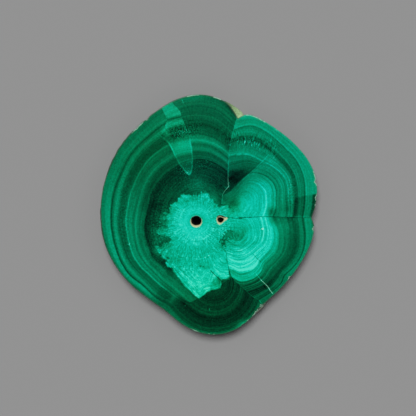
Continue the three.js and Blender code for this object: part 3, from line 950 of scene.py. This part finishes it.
def mouth_shade(directions):
    """Painted shade at the edge of a canal's mouth, as a depth into the lining's colours: the light comes
    from above it and leaves it dark there.
    """
    return MOUTH_DARK * ease(0.1, 0.6, directions[:, 1])


def canal_ring(tree, middle):
    """The mouth of a canal in the face, with its columns spread evenly about its middle."""
    reach = around(wall_distance(tree, middle, CANAL_WAYS, THICKNESS - 0.01), 1)
    return middle + CANAL_WAYS * reach[:, None]


def add_canal(builder, tree, start, drift, last, sheet, ledge):
    """The wall of a drip canal from its mouth to the back, with the painted shade of its lining. Returns its
    last ring.
    """
    degrees = (np.degrees(CANAL_TURNS) - min(LEDGE)) % 360 + min(LEDGE)
    shelf = np.interp(degrees, list(LEDGE), list(LEDGE.values())) * ledge
    shelved = np.clip(shelf / max(LEDGE.values()) * 3, 0, 1)
    # Painted shade deepens down the canal, fastest on the side that the light comes from
    shaded = CANAL_SHADE_DEEPENS + CANAL_SHADE_SIDE * CANAL_WAYS[:, 1]
    before = 0.0
    for row in range(1, CANAL_ROWS + 1):
        way = (row / CANAL_ROWS) ** CANAL_CROWDING
        depth = THICKNESS * way
        middle = start + drift * way
        reach = around(wall_distance(tree, middle, CANAL_WAYS, max(THICKNESS - depth, 0.02)), 2)
        reach = np.maximum(reach - shelf * ease(*LEDGE_DEPTHS, depth), LEDGE_LEAVES * reach)
        place = middle + CANAL_WAYS * reach[:, None]
        # The ledge keeps the pale look of lit lining down to its thickness, and only below that does the
        # painted shade deepen
        lit = LEDGE_LOOKS + np.maximum(depth - LEDGE_THICK, 0) * shaded
        looks = blend(shelved, depth * shaded, lit) + mouth_shade(CANAL_WAYS) * (row == 1)
        last = builder.strip(
            last, place, THICKNESS - depth, sheet, (before, depth), inwards=True,
            canal=1.0, canal_depth=looks,
        )
        before = depth
    return place, last


def add_veins(loose, ring, holes):
    """Puts the rows of the veins in among loose points. Returns the points with their heights and how
    light each vein is."""
    heights = np.full(len(loose), THICKNESS)
    tones = np.zeros(len(loose))
    for line, (first_tone, last_tone), half, depth in VEINS_AND_SHADOW:
        rows, clear = vein_rows(line, half, ring, holes)
        keep = (line_distance(loose, rows[1]) > half + VEIN_CLEAR) | (tones != 0)
        way = np.linspace(0, 1, len(clear))[clear]
        side = np.zeros(len(way))
        loose = np.vstack([loose[keep], *(row[clear] for row in rows)])
        tones = np.concatenate([tones[keep], side, blend(way, first_tone, last_tone), side])
        sunk = np.concatenate([side, np.full(len(way), depth), side])
        heights = np.concatenate([heights[keep], THICKNESS - sunk])
    return loose, heights, tones


def build_mesh():
    """The mesh of the slice, with the middles of its canals in the face and how far they lean."""
    corners, triangles = read_solid()
    tree = BVHTree.FromPolygons(corners.tolist(), triangles.tolist())
    outline, *holes = plane_rings(corners, triangles, THICKNESS)
    _, *openings = plane_rings(corners, triangles, 0)
    outline = around(resample(outline, EDGE_STEP), 1)
    outline = outline - ring_normals(outline) * chip_share(outline)[1][:, None]
    starts = [hole.mean(axis=0) for hole in holes]
    ends = [ring.mean(axis=0) for ring in openings]
    drifts = [min((end - start for end in ends), key=lambda run: np.hypot(*run)) for start in starts]
    mouths = [canal_ring(tree, start) for start in starts]

    builder = Builder()
    rim_numbers = builder.add(outline, THICKNESS)
    mouth_numbers = []
    for ring in mouths:
        # Painted shade at the edge of each mouth, on the side that the light comes from
        looks = mouth_shade(unit(ring - ring.mean(axis=0)))
        mouth_numbers.append(builder.add(ring, THICKNESS, canal=1.0, canal_depth=looks))
    loose, heights, tones = add_veins(lattice(outline, mouths, FACE_STEP, EDGE_MARGIN), outline, mouths)
    numbers = builder.add(loose, heights, vein=tones)
    rings = [outline, *mouths]
    builder.cover(rings, [rim_numbers, *mouth_numbers], loose, numbers, THICKNESS, 1, FACE_SHEET)

    lower = [add_wall(builder, tree, outline, rim_numbers)]
    drop_shaped = max(start[0] for start in starts)
    for start, drift, ring_numbers, sheet in zip(starts, drifts, mouth_numbers, CANAL_SHEETS):
        ledge = 1.0 if start[0] == drop_shaped else 0.0
        lower.append(add_canal(builder, tree, start, drift, ring_numbers, sheet, ledge))
    rings, ring_numbers = zip(*lower)
    loose = lattice(rings[0], rings[1:], BACK_STEP, BACK_STEP / 2)
    numbers = builder.add(loose, 0.0, back=1.0)
    builder.cover(rings, ring_numbers, loose, numbers, 0.0, -1, BACK_SHEET)
    return builder, starts, drifts


# Material

class Graph:
    """Adds nodes to a node tree. What a node gives out comes back as a Value."""

    def __init__(self, tree):
        self.tree = tree

    def node(self, kind, inputs=(), output=0, **settings):
        """A new node with its settings, and its inputs as pairs of a socket and what goes in."""
        made = self.tree.nodes.new(kind)
        for name, value in settings.items():
            setattr(made, name, value)
        for socket, value in inputs:
            self.put(made.inputs[socket], value)
        return Value(self, made.outputs[output])

    def put(self, socket, value):
        if isinstance(value, Value):
            self.tree.links.new(value.socket, socket)
        else:
            socket.default_value = value

    def read(self, name, output="Fac"):
        return self.node("ShaderNodeAttribute", output=output, attribute_name=name)

    def up(self, value):
        """A vector along z."""
        return self.node("ShaderNodeCombineXYZ", [(2, value)])

    def mix(self, share, first, second, kind="FLOAT", blend_type="MIX"):
        """The first where the share is 0, the second where it is 1: numbers, vectors or colours."""
        *inputs, output = {"FLOAT": (0, 2, 3, 0), "VECTOR": (0, 4, 5, 1), "RGBA": (0, 6, 7, 2)}[kind]
        pairs = zip(inputs, (share, first, second))
        return self.node("ShaderNodeMix", pairs, output, data_type=kind, blend_type=blend_type)


class Value:
    """What a node gives out. Sums, products and the like of values add nodes to their graph."""

    def __init__(self, graph, socket):
        self.graph = graph
        self.socket = socket

    def math(self, operation, *others, **settings):
        kind = "ShaderNodeVectorMath" if self.socket.type == "VECTOR" else "ShaderNodeMath"
        return self.graph.node(kind, enumerate((self, *others)), operation=operation, **settings)

    def __add__(self, other):
        return self.math("ADD", other)

    def __sub__(self, other):
        return self.math("SUBTRACT", other)

    def __mul__(self, other):
        return self.math("MULTIPLY", other)

    def __truediv__(self, other):
        return self.math("DIVIDE", other)

    def highest(self, other):
        return self.math("MAXIMUM", other)

    def third(self):
        return self.graph.node("ShaderNodeSeparateXYZ", [(0, self)], 2)

    def between(self, low, high):
        """0 below low, 1 above high, and an even, soft way between. It may also run downwards."""
        start, end = (0.0, 1.0) if low < high else (1.0, 0.0)
        ranges = {"From Min": min(low, high), "From Max": max(low, high), "To Min": start, "To Max": end}
        inputs = [("Value", self), *ranges.items()]
        return self.graph.node("ShaderNodeMapRange", inputs, interpolation_type="SMOOTHSTEP")

    def line(self, at, half):
        """1 where the value passes a level, 0 where it is further from it than half."""
        return (self - at).math("ABSOLUTE").between(half, 0.3 * half)

    def noise(self, scale, detail=2.0, roughness=0.5):
        """Noise about 0, from about -0.5 to 0.5. The scale is one for all axes or one for each."""
        vector, scale = (self * scale, 1.0) if isinstance(scale, tuple) else (self, scale)
        inputs = [("Vector", vector), ("Scale", scale), ("Detail", detail), ("Roughness", roughness)]
        return self.graph.node("ShaderNodeTexNoise", inputs, "Fac") - 0.5

    def ramp(self, stops):
        """A ramp through stops of place and tone in percent, or colour out of 255."""
        low = stops[0][0]
        high = stops[-1][0]
        inputs = [("Value", self), ("From Min", low), ("From Max", high)]
        scaled = self.graph.node("ShaderNodeMapRange", inputs)
        made = self.graph.node("ShaderNodeValToRGB", [(0, scaled)])
        elements = made.socket.node.color_ramp.elements
        elements[0].position = 0.0
        elements[1].position = 1.0
        for place, _ in stops[1:-1]:
            elements.new((place - low) / (high - low))
        for element, (_, tone) in zip(elements, stops):
            grey = not isinstance(tone, tuple)
            element.color = (tone / 100, tone / 100, tone / 100, 1.0) if grey else colour(*tone)
        return made


def tone_ramps(level, rows):
    """A ramp through each column of tones of a table, with its thin lines made crisper."""
    at, *columns = np.array(rows).T
    share = (at[1:-1] - at[:-2]) / (at[2:] - at[:-2])
    ramps = []
    for tones in columns:
        between = tones.copy()
        between[1:-1] = blend(share, tones[:-2], tones[2:])
        crisp = tones + SHARPNESS * (tones - between)
        ramps.append(level.ramp(list(zip(at.tolist(), crisp.tolist()))))
    return ramps


def body_tone(graph, wander):
    """The main body with its dark foot, and the wedge in it."""
    level = graph.read("body_level") + wander * 0.08
    turn = graph.read("body_turn")
    # Each side of the body in turn has tones of its own, with soft ways between them
    top, upper_left, left, lower_left = tone_ramps(level, BODY_TONES)
    tone = graph.mix(turn.between(140, 176), upper_left, left)
    tone = graph.mix(turn.between(107, 94), tone, top)
    tone = graph.mix(turn.between(232, 249), tone, lower_left)
    bright_line = level.line(1.95, 0.12) * turn.between(249, 243)
    tone += bright_line * graph.mix(turn.between(230, 244), 0.04, 0.12)
    tone = graph.mix(graph.read("foot"), tone, level.ramp(FOOT_TONES))

    in_wedge = graph.read("in_wedge") + wander * 0.4
    out = graph.read("body_radius")
    tone = graph.mix(in_wedge.between(-0.08, 0.08), tone, out.ramp(WEDGE_TONES))
    wedge_line = in_wedge.line(0.1, 0.36) * out.between(29.2, 28.2)
    return tone + wedge_line * 0.10


def heart_tone(graph, hole, place):
    """The blue-green middle about the drip canals: its tone, and where it is."""
    in_heart = graph.read("in_heart")
    fringe = graph.read("fringe")
    feather = hole.noise(*FEATHERS)
    edge = in_heart + feather * (fringe * 22.0 + 0.8) + graph.read("reach")
    share = (edge / (fringe * 1.1 + 0.25)).between(-1, 1)

    out = hole.third()
    tone = out.ramp(HEART_TONES) - in_heart.between(0.3, -1.0) * 0.17
    streaked = out.between(2.0, 6.0) * (out.between(18.0, 9.0) * 0.55 + 0.45)
    tone += hole.noise(*STREAKS) * streaked * STREAK_STRENGTH
    feathered = in_heart.between(4.5, 0.5) * out.between(4.0, 7.0)
    tone += feather * feathered * FEATHER_STRENGTH
    tone += hole.noise(*HEART_RINGS) * out.between(9.0, 6.0) * HEART_RING_STRENGTH

    # Layers along the lower left edge, and the arcs of the fan
    along = place * (0.22, 0.22, 0.0)
    layered = in_heart.between(6.0, 1.5) * out.between(12.0, 16.0)
    layers = (along + graph.up(in_heart * 1.9)).noise(*LAYERS)
    tone += layers * layered * LAYER_STRENGTH
    arcs = (along + graph.up(graph.read("fan") * 2.0)).noise(1.0)
    return graph.mix(graph.read("in_fan").between(-0.1, 0.2), tone, arcs * 0.6 + 0.80), share


def upper_tone(graph, wander):
    """The upper lobe: its ringed bulb, and its bands, which are darker past the light seam."""
    level = graph.read("upper_level") + wander * 0.06
    turn = graph.read("upper_turn")
    right, left = tone_ramps(level, UPPER_TONES)
    past_seam = graph.read("past_seam").between(-0.7, 0.5)
    in_bulb = level.between(0.05, -0.12)
    behind = turn.between(10, 100) * turn.between(215, 150)
    tone = graph.mix(graph.mix(in_bulb, past_seam, behind), right, left)
    broken = graph.read("spot", "Vector").noise(1.0).between(-0.12, 0.05)
    inner_line = level.line(-0.25, 0.022) * turn.between(105, 25)
    outer_line = level.line(1.0, 0.07) * broken
    return tone + inner_line * 0.10 + outer_line * 0.11


def lower_tone(graph, wander):
    """The lower lobe: its pale bulb and its bands."""
    level = graph.read("lower_level") + wander * 0.06
    turn = graph.read("lower_turn")
    right, left = tone_ramps(level, LOWER_TONES)
    tone = graph.mix(turn.between(-44, -56), right, left)
    bright_line = level.line(-0.10, 0.035) * turn.between(-25, 0)
    return tone + bright_line * 0.10


def band_tone(graph, place):
    """How light the polished stone is at each place."""
    wander = place.noise(0.45, 3.0)
    heart, in_heart = heart_tone(graph, graph.read("hole", "Vector"), place)
    tone = graph.mix(in_heart, body_tone(graph, wander), heart)

    rough_edge = place.noise(1.1, 3.0, 0.6)
    soft = graph.read("soft") * 1.2 + 0.06
    vector = graph.read("body", "Vector")
    shares = []
    for name, lobe in (("upper", upper_tone), ("lower", lower_tone)):
        inside = graph.read("in_" + name) + rough_edge * soft * 5.0
        share = (inside / soft).between(-1, 1)
        shares.append(share)
        tone = graph.mix(share, tone, lobe(graph, wander))
        vector = graph.mix(share, vector, graph.read(name, "Vector"), "VECTOR")

    # Fine rings along the bands and fibres across them
    out_of_heart = shares[0].highest(shares[1]).highest(in_heart * -1.0 + 1.0)
    tone += vector.noise(*FINE_RINGS) * (graph.read("ringed") * out_of_heart)
    tone += vector.noise(*FIBRES) * (graph.read("fibrous") * out_of_heart)

    # Mottling, dark patches, veins with the painted shadow beside a crack, and light grains
    mottle = place.noise(*MOTTLE)
    tone += mottle * graph.read("mottled")
    patches = place.noise(*PATCHES)
    patched = (graph.read("dark") + patches * 3.0).between(0.55, 1.05)
    tone = graph.mix(patched, tone, mottle * 0.5 + 0.42)
    tone = (tone + graph.read("lift")).math("MINIMUM", LIGHTEST)
    tone += graph.read("vein") * (patches * 3.0 + 1.0)
    across = graph.read("fibrous").between(0.3, 0.6)
    grained = graph.mix(across, place * (3.0, 3.0, 3.0), vector * (44.0, 44.0, 1.5), "VECTOR")
    grains = grained.noise(1.0) + graph.read("specked") * 0.15
    return tone + grains.between(0.25, 0.34) * GRAIN_STRENGTH


def stone_colour(graph, tone):
    """The palette's colour for a tone, bluer or yellower by place."""
    shade = tone.ramp(PALETTE)
    cool = graph.read("cool")
    pale = graph.read("vein").between(0.28, 0.55) * 0.6
    shade = graph.mix(pale, shade, colour(*VEIN_COLOUR), "RGBA")
    for sign, tint in ((1.0, BLUER), (-1.0, YELLOWER)):
        share = cool.math("MULTIPLY", sign, use_clamp=True)
        shade = graph.mix(share, shade, tint, "RGBA", "MULTIPLY")
    return shade


def make_material():
    material = bpy.data.materials.new("malachite")
    material.use_nodes = True
    graph = Graph(material.node_tree)
    shader = material.node_tree.nodes["Principled BSDF"]
    place = graph.read("spot", "Vector")
    polished = stone_colour(graph, band_tone(graph, place))

    # Natural rind
    patches = place.noise(0.35, 4.0, 0.6)
    fine = place.noise(2.6, 4.0, 0.65)
    worn = patches + fine * 0.35 + graph.read("lump") * 0.18
    crust = graph.read("crust")
    crusted = (crust + patches * 1.6 + fine * 1.8).between(0.35, 0.65) * crust.between(0.02, 0.15)
    crust_shade = (fine + graph.read("pale") * 0.7).ramp(CRUST_COLOURS)
    rind = graph.mix(crusted, worn.ramp(RIND_COLOURS), crust_shade, "RGBA")
    wall = graph.read("wall")
    wall_share = (wall + fine * 0.5).between(0.35, 0.62)
    shade = graph.mix(wall_share, polished, rind, "RGBA")

    # Chips along the rim show pale, unpolished stone, and stretches of the rim get a painted highlight in
    # the same pale colour
    chip = graph.read("chip")
    chipped = (chip + fine * 2.6).between(0.35, 0.6) * chip.between(0.0, 0.2)
    painted_highlight = graph.read("rim_highlight") + place.noise(0.9, 3.0) * 2.0 + fine * 1.4 - wall * 0.45
    highlight_place = wall.between(0.0, 0.12) * wall.between(0.95, 0.60)
    painted_highlight = painted_highlight.between(0.35, 0.62) * highlight_place
    shade = graph.mix(chipped.highest(painted_highlight * 0.85), shade, colour(*CHIP_AND_HIGHLIGHT_COLOUR), "RGBA")

    # The sawn back is the same stone, unpolished
    back = graph.read("back").between(0.4, 0.6)
    shade = graph.mix(back, shade, graph.mix(0.32, polished, colour(*DUST_COLOUR), "RGBA"), "RGBA")

    # Lining of the drip canals, darkening into painted shade down them
    lining = (graph.read("canal_depth") + fine * 0.6).ramp(LINING_AND_SHADE_COLOURS)
    canal = graph.read("canal").between(0.72, 0.98)
    graph.put(shader.inputs["Base Color"], graph.mix(canal, shade, lining, "RGBA"))

    # Gloss: polished on the face, dull on the rind, the back and in the canals
    dull = wall_share.highest(canal).highest(chipped)
    roughness = place.noise(0.8, 3.0) * 0.10 + POLISH_ROUGHNESS
    for share, rough in (
        (graph.read("rim").between(0.0, 0.4), 0.5), (dull, 0.62), (back, 0.5), (crust, 0.9),
    ):
        roughness = graph.mix(share, roughness, rough)
    graph.put(shader.inputs["Roughness"], roughness)
    shader.inputs["IOR"].default_value = 1.66

    # Relief: grains of the rind, saw marks on the back, and the faint grain of a hand polish
    saw = (graph.read("saw") * SAW_TURN).math("SINE") * back * SAW_DEPTH
    grain = fine * (dull * 0.16 + 0.002)
    relief = [("Strength", 1.0), ("Distance", MM), ("Height", saw + grain)]
    graph.put(shader.inputs["Normal"], graph.node("ShaderNodeBump", relief))
    return material


# Attributes

def write_attribute(mesh, name, values):
    """Stores a number or a vector at each vertex."""
    values = np.asarray(values, np.float32)
    kind, slot = ("FLOAT", "value") if values.ndim == 1 else ("FLOAT_VECTOR", "vector")
    mesh.attributes.new(name, kind, "POINT").data.foreach_set(slot, values.ravel())


def pattern_places(places, starts, drifts):
    """Where each place's growth shows in the polished face: bands run down through the slice, with the
    same lean as the wall and, near the canals, the lean of the canals."""
    depth = (THICKNESS - places[:, 2]) / THICKNESS
    flat = places[:, :2] - depth[:, None] * WALL_DRIFT
    away = np.hypot(*(flat - np.mean(starts, axis=0)).T)
    near = np.exp(-((away / CANAL_DRIFT_REACH) ** 2))
    return flat - (depth * near)[:, None] * np.mean(drifts, axis=0)


def paint(mesh, builder, places, starts, drifts):
    """Writes all that the material reads into the mesh."""
    points = pattern_places(places, starts, drifts)
    values = face_pattern(points)
    round_canal = min(starts, key=lambda start: start[0])
    from_canal = np.hypot(*(points - round_canal).T)
    values["hole"] = texture_vector(points, round_canal, from_canal, 0.3)
    values["spot"] = places
    values["saw"] = np.hypot(*(places[:, :2] - SAW_AT).T)
    for name, first, zone in builder.zones:
        values.setdefault(name, np.zeros(len(places)))[first:first + len(zone)] = zone
    for name, value in values.items():
        write_attribute(mesh, name, value)


def add_object(name, data):
    made = bpy.data.objects.new(name, data)
    bpy.context.scene.collection.objects.link(made)
    return made


def build_piece():
    builder, starts, drifts = build_mesh()
    places = np.vstack(builder.places)
    faces = np.vstack(builder.faces)
    mesh = bpy.data.meshes.new(PIECE)
    mesh.from_pydata((places * MM).tolist(), [], faces.tolist())
    mesh.polygons.foreach_set("use_smooth", np.ones(len(faces), bool))
    sheet = np.vstack(builder.sheet).reshape(-1, 2) / SHEET
    mesh.uv_layers.new(name="OFBake").uv.foreach_set("vector", sheet.astype(np.float32).ravel())
    paint(mesh, builder, places, starts, drifts)
    mesh.materials.append(make_material())
    return add_object(PIECE, mesh)


# Studio

def make_camera():
    data = bpy.data.cameras.new("camera")
    data.lens = CAMERA_LENS
    data.sensor_width = CAMERA_SENSOR
    data.clip_start = 0.01
    data.clip_end = 100
    camera = add_object("camera", data)
    camera.location = (CAMERA_OVER[0] * MM, CAMERA_OVER[1] * MM, CAMERA_HEIGHT * MM)
    bpy.context.scene.camera = camera


def make_floor():
    half = FLOOR_SIDE * MM / 2
    corners = [(-half, -half, 0), (half, -half, 0), (half, half, 0), (-half, half, 0)]
    mesh = bpy.data.meshes.new("floor")
    mesh.from_pydata(corners, [], [(0, 1, 2, 3)])
    material = bpy.data.materials.new("floor")
    material.use_nodes = True
    shader = material.node_tree.nodes["Principled BSDF"]
    shader.inputs["Base Color"].default_value = colour(FLOOR_GREY, FLOOR_GREY, FLOOR_GREY)
    shader.inputs["Roughness"].default_value = 1.0
    shader.inputs["Specular IOR Level"].default_value = 0.0
    mesh.materials.append(material)
    add_object("floor", mesh)


def make_light():
    data = bpy.data.lights.new("softbox", "SUN")
    data.energy = SUN_STRENGTH
    data.angle = math.radians(SUN_WIDTH)
    light = add_object("softbox", data)
    light.rotation_euler = Vector(SUN_FROM).to_track_quat("Z", "Y").to_euler()
    light.visible_glossy = False


def make_sky():
    """Grey studio walls, dark overhead, so that the polished face isn't veiled when seen from above."""
    world = bpy.data.worlds.new("studio")
    world.use_nodes = True
    graph = Graph(world.node_tree)
    direction = graph.node("ShaderNodeTexCoord", output="Generated")
    graph.put(world.node_tree.nodes["Background"].inputs["Color"], direction.third().ramp(SKY))
    bpy.context.scene.world = world


make_camera()
make_light()
make_sky()
make_floor()
piece = build_piece()
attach(piece, "root")
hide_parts(NODE)

bpy.context.scene.view_settings.view_transform = "Standard"
